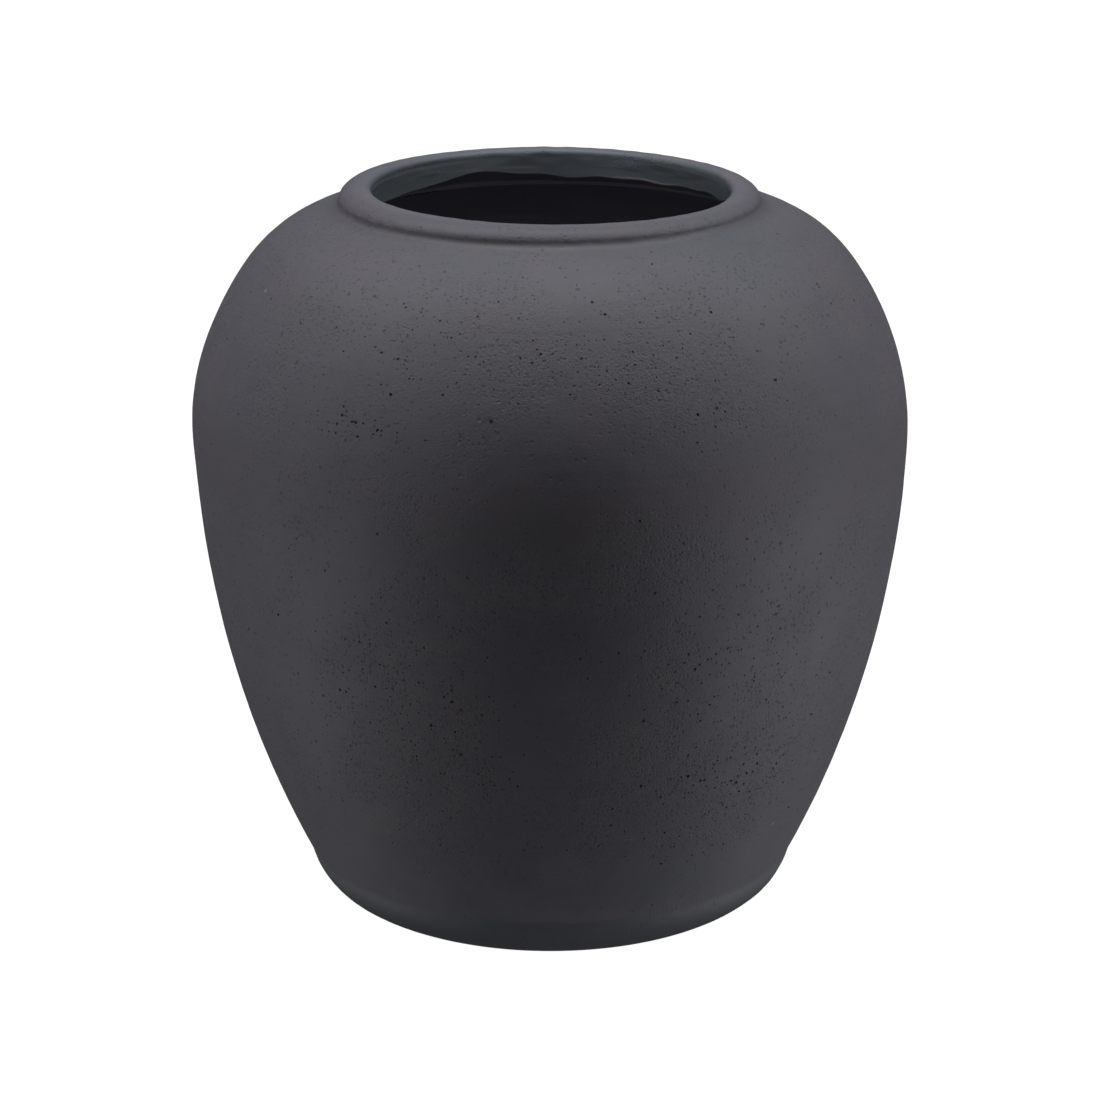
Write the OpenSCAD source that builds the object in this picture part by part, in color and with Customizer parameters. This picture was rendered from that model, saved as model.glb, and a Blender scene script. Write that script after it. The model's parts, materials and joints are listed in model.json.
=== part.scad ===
// Round-shouldered black clay pot, built up from the pieces a potter forms and
// joins: floor slab, foot band, wall, shoulder, collar, lip and the inside coils.
// Millimetres, +Z up. The origin is the middle of the foot's underside.
// Every piece is a turned ring, so each module revolves an outline drawn in the
// (radius, height) plane. Neighbours share the same bevel or step face to face.

/* [Overall] */
// Height from the floor to the top of the lip
pot_h = 300; // [285:1:320]
// Diameter at the widest line of the belly
belly_d = 292; // [286:1:298]
// Thickness of the wall
wall_t = 8; // [6.5:0.5:10]

/* [Body curves] */
// Radius of the arc that rounds the shoulder in side view
shoulder_arc_r = 117.5; // [114:0.5:121]
// Angle below level at which the shoulder arc hands over to the lower wall
lower_arc_deg = 2; // [1:0.5:4]
// Radius of the tighter arc that turns the shoulder in towards the neck
crown_arc_r = 57.5; // [56:0.5:59]
// Angle above level at which the crown arc begins
crown_arc_deg = 36.3; // [35:0.1:38]
// Radius of the groove where the shoulder meets the lip
groove_r = 86; // [84.5:0.5:87]

/* [Foot] */
// Diameter of the flat that the pot stands on
foot_flat_d = 155; // [150:1:160]
// Radius of the rounded foot in side view
foot_arc_r = 25; // [23:0.5:27]
// Height of the crease between the foot band and the lower wall
crease_z = 20.5; // [18:0.5:22]
// Thickness of the floor, measured at the foot's resting plane
floor_t = 12; // [10:0.5:14]
// Depth of the shallow hollow under the floor
recess_h = 1.5; // [1:0.5:3]
// Diameter of the hollow under the floor
recess_d = 124; // [116:1:128]

/* [Mouth and lip] */
// Diameter of the mouth
mouth_d = 145; // [143:1:147]
// Outside diameter of the lip
lip_d = 169.6; // [168:0.2:171]
// Radius of the lip's outer roll in side view
lip_roll_r = 4.3; // [4:0.1:4.6]
// Radius of the lip's inner edge in side view
lip_edge_r = 2.5; // [2:0.1:3]
// Height of the lip from its seat to its top
lip_h = 9.5; // [9:0.5:10]
// Thickness of the collar's tongue inside the lip
tongue_t = 5; // [4:0.5:6]
// Height of the collar's tongue above the lip's seat
tongue_h = 5.5; // [5:0.5:6]
// Height of the throat's straight wall, below the lip's inner edge
throat_h = 8; // [7:0.5:9]

/* [Joints] */
// Slope of the bevelled joints, rising towards the inside
bevel_deg = 38; // [30:1:45]
// How far the belly coil stands in from the wall
belly_coil_bulge = 5; // [3:0.5:7]
// Radius of the belly coil's inner face in side view
belly_coil_r = 20; // [16:1:24]
// Radius of the coil pressed into the corner of the floor
floor_coil_r = 13; // [10:1:15]

/* [Hidden] */
$fn = 240;

clay_wall = [0.27, 0.27, 0.29];
clay_shoulder = [0.31, 0.31, 0.33];
clay_foot = [0.22, 0.23, 0.25];
clay_lip = [0.36, 0.36, 0.38];
clay_neck = [0.17, 0.20, 0.21];
clay_inside = [0.10, 0.10, 0.12];

belly_r = belly_d / 2;
mouth_r = mouth_d / 2;
lip_r = lip_d / 2;
foot_flat_r = foot_flat_d / 2;
recess_r = recess_d / 2;
// Radius of the floor slab's upper face, just inside the line the foot stands on
slab_r = foot_flat_r - 3;

// A point at a radius and an angle from a centre, in the (radius, height) plane
function polar(centre, r, deg) = centre + r * [cos(deg), sin(deg)];

// Height of the face that the lip sits on; the shoulder's edge lies just below it
seat_z = pot_h - lip_h;
seat_drop = 0.2;

// Shoulder arc, and the crown arc that leaves it without a corner. Their rise from
// the belly's widest line to the groove sets the height of that line.
shoulder_c_r = belly_r - shoulder_arc_r;
crown_step = shoulder_arc_r - crown_arc_r;
groove_deg = acos((groove_r - shoulder_c_r - crown_step * cos(crown_arc_deg)) / crown_arc_r);
belly_z = seat_z - seat_drop - crown_step * sin(crown_arc_deg) - crown_arc_r * sin(groove_deg);
shoulder_c = [shoulder_c_r, belly_z];
crown_c = polar(shoulder_c, crown_step, crown_arc_deg);
groove_out = polar(crown_c, crown_arc_r, groove_deg);
groove_in = polar(crown_c, crown_arc_r - wall_t, groove_deg);

// Foot arc, tangent to the floor, and the crease where it meets the wall
foot_c = [foot_flat_r, foot_arc_r];
crease = [foot_flat_r + sqrt(pow(foot_arc_r, 2) - pow(foot_arc_r - crease_z, 2)), crease_z];

// Lower wall: the one arc that leaves the shoulder arc smoothly and ends on the crease
wall_top = polar(shoulder_c, shoulder_arc_r, -lower_arc_deg);
wall_normal = [cos(lower_arc_deg), -sin(lower_arc_deg)];
wall_chord = crease - wall_top;
wall_arc_r = -(wall_chord * wall_chord) / (2 * wall_chord * wall_normal);
wall_c = wall_top - wall_arc_r * wall_normal;
// Radius of the inside of the wall at the floor
floor_corner_r = wall_c[0] + sqrt(pow(wall_arc_r - wall_t, 2) - pow(floor_t - wall_c[1], 2));

// The lip's two rounding centres and the line that joins them
tongue_r = mouth_r + tongue_t;
throat_z = pot_h - lip_edge_r - throat_h;
lip_edge_c = [mouth_r + lip_edge_r, pot_h - lip_edge_r];
lip_roll_c = [lip_r - lip_roll_r, seat_z + lip_roll_r];
lip_span = lip_roll_c - lip_edge_c;
lip_tangent_deg = atan2(lip_span[1], lip_span[0]) + acos((lip_edge_r - lip_roll_r) / norm(lip_span));

// Reach of the cutting shapes, past every edge that they trim
reach = belly_r;
// Angles at which cutting sectors end, well clear of the edges that they trim
up_and_over_deg = 110;
// Steps in a cutting sector's far side
sector_steps = 4;

// Solid ring from an outline drawn to the right of the axis
module turned() {
    rotate_extrude() children();
}

// Wide sector about a point
module sector(centre, deg_low, deg_high) {
    far = 3 * reach;
    polygon(concat([centre], [
        for (i = [0:sector_steps])
            polar(centre, far, deg_low + (deg_high - deg_low) * i / sector_steps)
    ]));
}

// What an arc trims away between two angles: the part of the sector outside the arc
module outside_arc(centre, r, deg_low, deg_high) {
    difference() {
        sector(centre, deg_low, deg_high);
        translate(centre) circle(r);
    }
}

// Everything inside the shoulder's side view, moved in from its outside by an inset
module shoulder_fill(inset) {
    difference() {
        translate(shoulder_c) circle(shoulder_arc_r - inset);
        outside_arc(crown_c, crown_arc_r - inset, crown_arc_deg, up_and_over_deg);
    }
}

// One side of a bevelled joint that starts at a point on the outside: 1 is above, -1 below
module joint_side(start, side) {
    rise = reach * tan(bevel_deg);
    polygon([
        start + [reach, -rise],
        start + [reach, 2 * side * reach],
        start + [-reach, 2 * side * reach],
        start + [-reach, rise],
    ]);
}

// The part of the outline plane that the walls lie in
module wall_window() {
    translate([groove_r - wall_t, 0]) square([belly_r, pot_h]);
}

module lower_wall_outline() {
    intersection() {
        wall_window();
        difference() {
            translate(wall_c) circle(wall_arc_r);
            translate(wall_c) circle(wall_arc_r - wall_t);
            joint_side(wall_top, 1);
            joint_side(crease, -1);
        }
    }
}

module shoulder_wall_outline() {
    intersection() {
        wall_window();
        difference() {
            shoulder_fill(0);
            shoulder_fill(wall_t);
            joint_side(wall_top, -1);
            sector(crown_c, groove_deg, groove_deg + up_and_over_deg);
        }
    }
}

// Thick ring from the resting plane up to the crease; its hole is bevelled for the slab
module foot_band_outline() {
    difference() {
        polygon([
            [recess_r, 0],
            [crease[0] + wall_t, 0],
            crease + [wall_t, 0],
            crease + 2 * wall_t * [-1, tan(bevel_deg)],
            [slab_r, floor_t],
        ]);
        outside_arc(foot_c, foot_arc_r, -90, 0);
        joint_side(crease, 1);
        hollow_above_floor();
    }
}

// The hollow of the pot near its floor
module hollow_above_floor() {
    intersection() {
        translate(wall_c) circle(wall_arc_r - wall_t);
        translate([0, floor_t]) square([belly_r, belly_z]);
    }
}

module floor_coil_outline() {
    intersection() {
        translate([floor_corner_r, floor_t]) circle(floor_coil_r);
        hollow_above_floor();
    }
}

// Coil squeezed flat over the inside of the belly joint, at the height where its bevel ends
module belly_coil_outline() {
    face_r = belly_r - wall_t - belly_coil_bulge;
    middle_z = wall_top[1] + wall_t * tan(bevel_deg);
    intersection() {
        translate([face_r + belly_coil_r, middle_z]) circle(belly_coil_r);
        translate(shoulder_c) circle(shoulder_arc_r - wall_t);
    }
}

// Ring that carries the lip: a tongue around the throat, and a seat beside it
module neck_collar_outline() {
    polygon([
        [mouth_r, throat_z],
        [mouth_r, seat_z + tongue_h],
        [tongue_r, seat_z + tongue_h],
        [tongue_r, seat_z],
        [lip_roll_c[0], seat_z],
        groove_out,
        groove_in,
    ]);
}

// Lip: an inner edge and an outer roll joined by a gently sloping top, stepped for the tongue
module rolled_lip_outline() {
    top_left = polar(lip_edge_c, lip_edge_r, lip_tangent_deg);
    top_right = polar(lip_roll_c, lip_roll_r, lip_tangent_deg);
    slope = (top_right - top_left) / norm(top_right - top_left);
    difference() {
        translate([mouth_r, seat_z]) square([lip_r - mouth_r, lip_h]);
        polygon([
            top_left - lip_h * slope,
            top_right + lip_h * slope,
            top_right + lip_h * slope + [0, lip_h],
            top_left - lip_h * slope + [0, lip_h],
        ]);
        outside_arc(lip_edge_c, lip_edge_r, lip_tangent_deg, 180);
        outside_arc(lip_roll_c, lip_roll_r, -90, lip_tangent_deg);
        translate([mouth_r - 1, seat_z - 1]) square([tongue_t + 1, tongue_h + 1]);
    }
}

module base_slab() {
    color(clay_foot) turned() polygon([
        [0, recess_h],
        [recess_r + (slab_r - recess_r) * recess_h / floor_t, recess_h],
        [slab_r, floor_t],
        [0, floor_t],
    ]);
}

module foot_band() {
    color(clay_foot) turned() foot_band_outline();
}

module floor_coil() {
    color(clay_inside) turned() floor_coil_outline();
}

module lower_wall() {
    color(clay_wall) turned() lower_wall_outline();
}

module belly_coil() {
    color(clay_inside) turned() belly_coil_outline();
}

module shoulder_wall() {
    color(clay_shoulder) turned() shoulder_wall_outline();
}

module neck_collar() {
    color(clay_neck) turned() neck_collar_outline();
}

module rolled_lip() {
    color(clay_lip) turned() rolled_lip_outline();
}

base_slab();
foot_band();
floor_coil();
lower_wall();
belly_coil();
shoulder_wall();
neck_collar();
rolled_lip();
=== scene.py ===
"""Looks of the black clay pot: every formed piece as a finely turned mesh with
real pits, pressed marks and chips, and procedural smoke-fired clay on each.

Lengths are in millimetres in the outlines and in metres in the scene. An angle
round the pot is 0 at its front (towards -Y) and grows towards +X.
"""

import json
import math
from collections import namedtuple

import bpy
import numpy as np
from mathutils import Matrix, Vector


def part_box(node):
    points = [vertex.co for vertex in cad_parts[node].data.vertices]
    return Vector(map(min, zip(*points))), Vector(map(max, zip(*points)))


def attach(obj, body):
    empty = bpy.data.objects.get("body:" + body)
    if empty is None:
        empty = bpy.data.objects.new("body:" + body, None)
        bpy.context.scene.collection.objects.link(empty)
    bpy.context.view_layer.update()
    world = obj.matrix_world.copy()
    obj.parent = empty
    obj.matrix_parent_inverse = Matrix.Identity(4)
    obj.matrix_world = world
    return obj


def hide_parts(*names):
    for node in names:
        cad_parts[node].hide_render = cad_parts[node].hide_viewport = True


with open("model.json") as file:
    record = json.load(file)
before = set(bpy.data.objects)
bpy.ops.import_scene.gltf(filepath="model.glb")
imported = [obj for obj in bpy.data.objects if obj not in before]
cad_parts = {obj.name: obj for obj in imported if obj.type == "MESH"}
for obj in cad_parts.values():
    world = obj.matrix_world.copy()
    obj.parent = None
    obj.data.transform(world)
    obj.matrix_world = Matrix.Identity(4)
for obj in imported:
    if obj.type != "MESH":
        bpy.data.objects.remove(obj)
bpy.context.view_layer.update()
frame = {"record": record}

MM = 0.001

# ---------------------------------------------------------------------------
# Driving dimensions, in millimetres. The first group is read from the frame.
# ---------------------------------------------------------------------------


def node_mm(node, end, axis):
    """One coordinate of a CAD node's box: end 0 is its lowest corner and 1 its highest."""
    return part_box(node)[end][axis] / MM


MOUTH = next(m for m in frame["record"]["mounts"] if m["name"] == "mouth")

POT_H = node_mm("rolled_lip", 1, 2)
MOUTH_R = MOUTH["dims"]["r_mm"]
LIP_R = 84.8
BELLY_R = 146.0
SEAT_Z = node_mm("rolled_lip", 0, 2)
CREASE_Z = node_mm("lower_wall", 0, 2)
FLOOR_T = node_mm("base_slab", 1, 2)
RECESS_H = node_mm("base_slab", 0, 2)
THROAT_Z = MOUTH["pos_m"][2] / MM - MOUTH["dims"]["length_mm"] / 2

WALL_T = 8.0
SHOULDER_ARC_R = 117.5
CROWN_ARC_R = 57.5
CROWN_ARC_DEG = 36.3
HANDOVER_DEG = 2.0
GROOVE_R = 86.0
SEAT_DROP = 0.2
FOOT_FLAT_R = 77.5
FOOT_ARC_R = 25.0
RECESS_R = 62.0
SLAB_R = FOOT_FLAT_R - 3
# Radius at which the slab's rings close in a fan, and width of the last row before the standing edge
SLAB_MIDDLE_R = 1.5
STANDING_EDGE_W = 1.6
LIP_ROLL_R = 6.4
LIP_ROLL_DROP = 0.2
LIP_EDGE_R = 2.5
TONGUE_T = 5.0
TONGUE_H = 5.5
BEVEL_DEG = 38.0
# The throat's lower edge: where its plain face ends, its trimmed corner, and the broken edge below
THROAT_FACE_H = 3.4
THROAT_CORNER_H = 2.8
THROAT_EDGE_BREAK = (0.6, -0.45)
BELLY_COIL_BULGE = 5.0
BELLY_COIL_R = 20.0
FLOOR_COIL_R = 13.0

# Soft fillets where wet clay was wiped into a corner
CREASE_FILLET_R = 15.0
GROOVE_FILLET_R = 6.0

# The lip sank a little as it dried: everywhere, and more at the front than at the back
SINK_MEAN = 2.1
SINK_TILT = 1.3
# The roll is fuller on the pot's left than on its right
FULLER_LEFT = 0.55
# So is the shoulder, round one height
SHOULDER_FULLER_LEFT = 1.1
SHOULDER_FULLER_Z = 216
SHOULDER_FULLER_H = 26

# Grid of the turned meshes: cells round the pot, and lengths of a cell along an outline
SEGMENTS = 540
SLAB_SEGMENTS = 240
COIL_SEGMENTS = 480
WALL_STEP = 1.7
CROWN_STEP = 0.8 * WALL_STEP
FOOT_STEP = 0.9
FILLET_STEP = 0.7
GROOVE_STEP = 0.5
SEAT_STEP = 2.0
UNDERSIDE_STEP = 1.6
LIP_STEP = 0.55
COIL_STEP = 1.6
SLAB_STEP = 2.4
INSIDE_STEP = 14.0
CROWN_INSIDE_STEP = 6.0
# Faces that meet at a sharper angle than this show an edge
SHARP_DEG = 32


# ---------------------------------------------------------------------------
# Outline geometry in the (radius, height) plane
# ---------------------------------------------------------------------------


def polar(centre, radius, deg):
    """Point at a radius and an angle from a centre."""
    return np.array(centre) + radius * np.array([math.cos(math.radians(deg)), math.sin(math.radians(deg))])


def angle_of(point, centre):
    """Angle in degrees at which a point lies from a centre."""
    d = np.array(point) - np.array(centre)
    return math.degrees(math.atan2(d[1], d[0]))


def circles_meet(c1, r1, c2, r2, side):
    """Where two circles cross; side 1 is to the left of the line from c1 to c2."""
    c1, c2 = np.array(c1, float), np.array(c2, float)
    d = np.linalg.norm(c2 - c1)
    along = (d * d + r1 * r1 - r2 * r2) / (2 * d)
    across = math.sqrt(r1 * r1 - along * along)
    u = (c2 - c1) / d
    return c1 + along * u + side * across * np.array([-u[1], u[0]])


def bevel_end(start, centre, radius):
    """Where a joint's bevel, rising inwards from its start on the outside, meets an inner arc."""
    start, centre = np.array(start, float), np.array(centre, float)
    u = np.array([-math.cos(math.radians(BEVEL_DEG)), math.sin(math.radians(BEVEL_DEG))])
    b = (start - centre) @ u
    c = (start - centre) @ (start - centre) - radius * radius
    return start + u * (-b - math.sqrt(b * b - c))


# A stretch of an outline: its points, its outward normals, the function that
# displaces it along them, and whether pits may open in it
Run = namedtuple("Run", "points normals relief pitted")


def arc(centre, radius, deg_from, deg_to, step, relief=None, pitted=False, facing=1):
    """Run along an arc. Facing 1 looks away from the arc's centre and -1 towards it."""
    count = max(2, 1 + int(round(abs(math.radians(deg_to - deg_from)) * radius / step)))
    degs = np.radians(np.linspace(deg_from, deg_to, count))
    normals = np.stack([np.cos(degs), np.sin(degs)], 1)
    return Run(np.array(centre) + radius * normals, facing * normals, relief, pitted)


def line(start, end, step, relief=None, pitted=False, facing=1):
    """Run along a straight line. Facing 1 looks to its right."""
    start, end = np.array(start, float), np.array(end, float)
    length = np.linalg.norm(end - start)
    count = max(2, 1 + int(round(length / step)))
    along = (end - start) / length
    normal = facing * np.array([along[1], -along[0]])
    points = start + np.linspace(0, 1, count)[:, None] * (end - start)
    return Run(points, np.tile(normal, (count, 1)), relief, pitted)


SHOULDER_C_R = BELLY_R - SHOULDER_ARC_R
CROWN_SHIFT = SHOULDER_ARC_R - CROWN_ARC_R
GROOVE_DEG = math.degrees(math.acos(
    (GROOVE_R - SHOULDER_C_R - CROWN_SHIFT * math.cos(math.radians(CROWN_ARC_DEG))) / CROWN_ARC_R))
BELLY_Z = (SEAT_Z - SEAT_DROP - CROWN_SHIFT * math.sin(math.radians(CROWN_ARC_DEG))
           - CROWN_ARC_R * math.sin(math.radians(GROOVE_DEG)))
SHOULDER_C = np.array([SHOULDER_C_R, BELLY_Z])
CROWN_C = polar(SHOULDER_C, CROWN_SHIFT, CROWN_ARC_DEG)

FOOT_C = np.array([FOOT_FLAT_R, FOOT_ARC_R])
CREASE = np.array([FOOT_FLAT_R + math.sqrt(FOOT_ARC_R ** 2 - (FOOT_ARC_R - CREASE_Z) ** 2), CREASE_Z])
WALL_TOP = polar(SHOULDER_C, SHOULDER_ARC_R, -HANDOVER_DEG)
WALL_NORMAL = polar([0, 0], 1, -HANDOVER_DEG)
WALL_CHORD = CREASE - WALL_TOP
WALL_ARC_R = -(WALL_CHORD @ WALL_CHORD) / (2 * WALL_CHORD @ WALL_NORMAL)
WALL_C = WALL_TOP - WALL_ARC_R * WALL_NORMAL

CREASE_FILLET_C = circles_meet(FOOT_C, FOOT_ARC_R + CREASE_FILLET_R,
                               WALL_C, WALL_ARC_R + CREASE_FILLET_R, -1)
LIP_EDGE_C = np.array([MOUTH_R + LIP_EDGE_R, POT_H - LIP_EDGE_R])
LIP_ROLL_C = np.array([LIP_R - LIP_ROLL_R, POT_H - LIP_ROLL_DROP - LIP_ROLL_R])
LIP_SEAT_DEG = math.degrees(math.asin((SEAT_Z - LIP_ROLL_C[1]) / LIP_ROLL_R))
LIP_SPAN = LIP_ROLL_C - LIP_EDGE_C
LIP_TANGENT_DEG = (angle_of(LIP_SPAN, [0, 0])
                   + math.degrees(math.acos((LIP_EDGE_R - LIP_ROLL_R) / np.linalg.norm(LIP_SPAN))))
GROOVE_FILLET_C = circles_meet(LIP_ROLL_C, LIP_ROLL_R + GROOVE_FILLET_R,
                               CROWN_C, CROWN_ARC_R + GROOVE_FILLET_R, 1)
GROOVE_LOW_Z = polar(CROWN_C, CROWN_ARC_R, angle_of(GROOVE_FILLET_C, CROWN_C))[1]
GROOVE_HIGH_Z = polar(LIP_ROLL_C, LIP_ROLL_R, angle_of(GROOVE_FILLET_C, LIP_ROLL_C))[1]


# ---------------------------------------------------------------------------
# Relief: how far the clay stands out or in, in millimetres, by angle and height
# ---------------------------------------------------------------------------


def waves(seed, count, turns, heights, amplitude):
    """Smooth seeded unevenness: a sum of waves with whole turns round the pot.
    turns and heights are the ranges of waves per turn and of wavelengths in height."""
    draw = np.random.RandomState(seed)
    k = draw.randint(turns[0], turns[1] + 1, count)
    length = draw.uniform(heights[0], heights[1], count)
    phase = draw.uniform(0, 2 * math.pi, count)
    lean = draw.choice([-1, 1], count)
    size = amplitude * math.sqrt(2 / count)

    def relief(theta, z):
        total = 0
        for i in range(count):
            total = total + np.sin(k[i] * theta + lean[i] * 2 * math.pi * z / length[i] + phase[i])
        return size * total

    return relief


def bell(x, middle, width):
    """A smooth bump of height 1."""
    return np.exp(-((x - middle) / width) ** 2)


def fade(x, low, high):
    """0 below low, 1 above high, and smooth between."""
    t = np.clip((x - low) / (high - low), 0, 1)
    return t * t * (3 - 2 * t)


WOBBLE = waves(11, 6, (2, 4), (260, 700), 0.10)
HAND = waves(12, 26, (7, 26), (30, 120), 0.045)
FINE = waves(13, 30, (30, 90), (7, 24), 0.016)
RIDGE_DRIFT = waves(14, 5, (1, 3), (60, 200), 0.9)
# Heights, half-width and depth of the faint level lines where the two halves were joined and wiped
JOINT_LINES = (194.5, 203.0, 209.5, 216.0, 223.0)
JOINT_LINE_W = 0.9
JOINT_LINE_DEPTH = 0.045
# Pitch and depth of the marks that the wiping cloth left
WIPE_PITCH = 3.7
WIPE_DEPTH = 0.006


def outside(theta, z):
    """Outer face of the body: nearly true, slightly uneven, with faint level lines at the belly."""
    level = z + RIDGE_DRIFT(theta, z)
    lines = sum(bell(level, height, JOINT_LINE_W) for height in JOINT_LINES)
    patchy = 0.5 + 0.5 * np.sin(3 * theta + 1.0) * np.sin(5 * theta)
    wiping = np.sin(level * 2 * math.pi / WIPE_PITCH) * WIPE_DEPTH - JOINT_LINE_DEPTH * lines * patchy
    on_left = np.maximum(-np.sin(theta), 0) ** 2
    fuller = SHOULDER_FULLER_LEFT * on_left * bell(z, SHOULDER_FULLER_Z, SHOULDER_FULLER_H)
    return WOBBLE(theta, z) + HAND(theta, z) + FINE(theta, z) + wiping + fuller


LIP_SWAY = waves(21, 5, (2, 5), (200, 400), 0.16)
LIP_HAND = waves(22, 24, (10, 60), (5, 30), 0.035)


def lip_face(theta, z):
    """Lip: wiped round by hand."""
    fuller = FULLER_LEFT * (1 - np.sin(theta))
    return WOBBLE(theta, z) + LIP_SWAY(theta, z * 0) + LIP_HAND(theta, z) + fuller


def groove_face(theta, z):
    """Soft valley under the lip: carries the shoulder's face over into the lip's."""
    share = fade(z, GROOVE_LOW_Z, GROOVE_HIGH_Z)
    return share * lip_face(theta, z) + (1 - share) * outside(theta, z)


def edge_face(theta, z):
    """Lip's inner edge: carries the throat's face over into the lip's."""
    share = fade(z, LIP_EDGE_C[1], POT_H - 0.3)
    return share * lip_face(theta, z) + (1 - share) * throat_face(theta, z)


def sunken(theta, z):
    """How far the soft clay of the lip sank before it dried: most at the pot's front."""
    share = np.clip((z - GROOVE_LOW_Z) / (POT_H - GROOVE_LOW_Z), 0, 1)
    return -(SINK_MEAN + SINK_TILT * np.cos(theta)) * share


THROW = waves(31, 10, (0, 2), (9, 16), 0.30)
INSIDE_HAND = waves(32, 20, (6, 22), (20, 70), 0.22)


def inside(theta, z):
    """Inner face: finger ridges that nobody smoothed."""
    return THROW(theta, z) + INSIDE_HAND(theta, z)


def pressed(turn_count, depth, seed):
    """A coil squeezed down by a thumb at even steps."""
    drift = waves(seed, 5, (1, 6), (80, 160), 0.35)

    def relief(theta, z):
        mark = np.abs(np.sin(theta * turn_count / 2 + 0.4 * drift(theta, z)))
        return -depth * (1 - mark) ** 2 + 0.2 * drift(theta, z)

    return relief


THROAT = waves(41, 14, (3, 26), (6, 20), 0.06)
TRIM = waves(42, 9, (3, 24), (90, 200), 0.30)


def throat_face(theta, z):
    """Burnished throat: almost true."""
    return THROAT(theta, z) - LIP_SWAY(theta, z * 0) * 0.2


STRING = waves(51, 12, (1, 9), (14, 40), 0.10)


# ---------------------------------------------------------------------------
# Pits: where they lie, in degrees round the pot and millimetres up it
# ---------------------------------------------------------------------------

# A cluster: angle, height, half-width in degrees, half-height, pits per cm2, and size
Cluster = namedtuple("Cluster", "deg z half_deg half_z per_cm2 size")
CLUSTERS = (
    # Front: fields low on the left and right, and over the shoulder
    Cluster(-26, 128, 15, 34, 9.0, 0.55),
    Cluster(-14, 100, 9, 22, 6.0, 0.60),
    Cluster(27, 128, 14, 34, 10.0, 0.60),
    Cluster(34, 84, 12, 13, 10.0, 0.85),
    Cluster(18, 58, 14, 8, 6.0, 0.60),
    Cluster(-16, 258, 14, 16, 8.0, 0.55),
    Cluster(17, 262, 17, 15, 8.0, 0.55),
    Cluster(31, 272, 14, 9, 7.0, 0.50),
    Cluster(-34, 264, 14, 12, 5.0, 0.50),
    Cluster(26, 236, 6, 8, 8.0, 0.66),
    Cluster(-32, 232, 5, 6, 7.0, 0.90),
    Cluster(-24, 230, 6, 6, 7.0, 0.70),
    Cluster(12, 250, 8, 8, 7.0, 0.60),
    # Sides and back
    Cluster(78, 150, 20, 30, 6.0, 0.60),
    Cluster(112, 250, 20, 18, 7.0, 0.60),
    Cluster(140, 110, 22, 32, 7.0, 0.62),
    Cluster(176, 245, 18, 18, 7.0, 0.60),
    Cluster(-170, 150, 20, 30, 6.5, 0.65),
    Cluster(-128, 236, 18, 20, 7.0, 0.60),
    Cluster(-118, 110, 20, 28, 8.0, 0.60),
    Cluster(-78, 252, 16, 16, 6.0, 0.55),
    Cluster(-72, 132, 16, 26, 6.0, 0.60),
)
# Single deeper pits: angle, height and width
LonePit = namedtuple("LonePit", "deg z width")
LONE_PITS = (
    LonePit(-9, 236, 1.5),
    LonePit(-33.5, 234, 1.4),
    LonePit(-32, 231.5, 1.5),
    LonePit(-34.5, 231, 1.2),
    LonePit(35, 81, 1.6),
    LonePit(37, 85, 1.4),
)
# Pits that lie anywhere, and the share of all pits left where the foot was wiped smooth
SCATTER_PER_CM2 = 1.2
SCATTER_SIZE = 0.48
SMOOTH_FOOT_Z = (40, 52)
SMOOTH_FOOT_SHARE = 0.07
# Shape of a pit: mean and spread of the logarithm of its width over the usual one, its turn in
# radians, the ranges of its unevenness and of its depth over its width, and its floor over its rim
PIT_WIDTH_LOG = (-0.08, 0.42)
PIT_TURN = 0.5
PIT_UNEVEN = (0.62, 1.0)
PIT_DEPTH = (0.18, 0.42)
PIT_FLOOR = 0.55
PIT_LARGEST_REACH = 0.92
# How near a piece's pitted part must come to a single pit to hold it
LONE_PIT_NEAR = 4.0


def turn_between(theta, deg):
    """Signed angle in degrees from a direction round the pot."""
    return (np.degrees(theta) - deg + 180) % 360 - 180


def pit_field(theta, z):
    """Pits per square centimetre, and their usual size in millimetres, at places on the body."""
    density = np.full(theta.shape, SCATTER_PER_CM2)
    size = np.full(theta.shape, SCATTER_SIZE) * density
    for c in CLUSTERS:
        share = c.per_cm2 * bell(turn_between(theta, c.deg), 0, c.half_deg) * bell(z, c.z, c.half_z)
        density = density + share
        size = size + c.size * share
    worked = SMOOTH_FOOT_SHARE + (1 - SMOOTH_FOOT_SHARE) * fade(z, *SMOOTH_FOOT_Z)
    return density * worked, size / density


# ---------------------------------------------------------------------------
# Turned meshes
# ---------------------------------------------------------------------------


def grid_faces(rows, columns):
    """Quads between each row of a turned mesh and the next, in rows that go round."""
    i = np.arange(rows - 1)[:, None] * columns
    j = np.arange(columns)[None, :]
    k = (j + 1) % columns
    return np.stack([i + j, i + k, i + columns + k, i + columns + j], -1).reshape(-1, 4)


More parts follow.
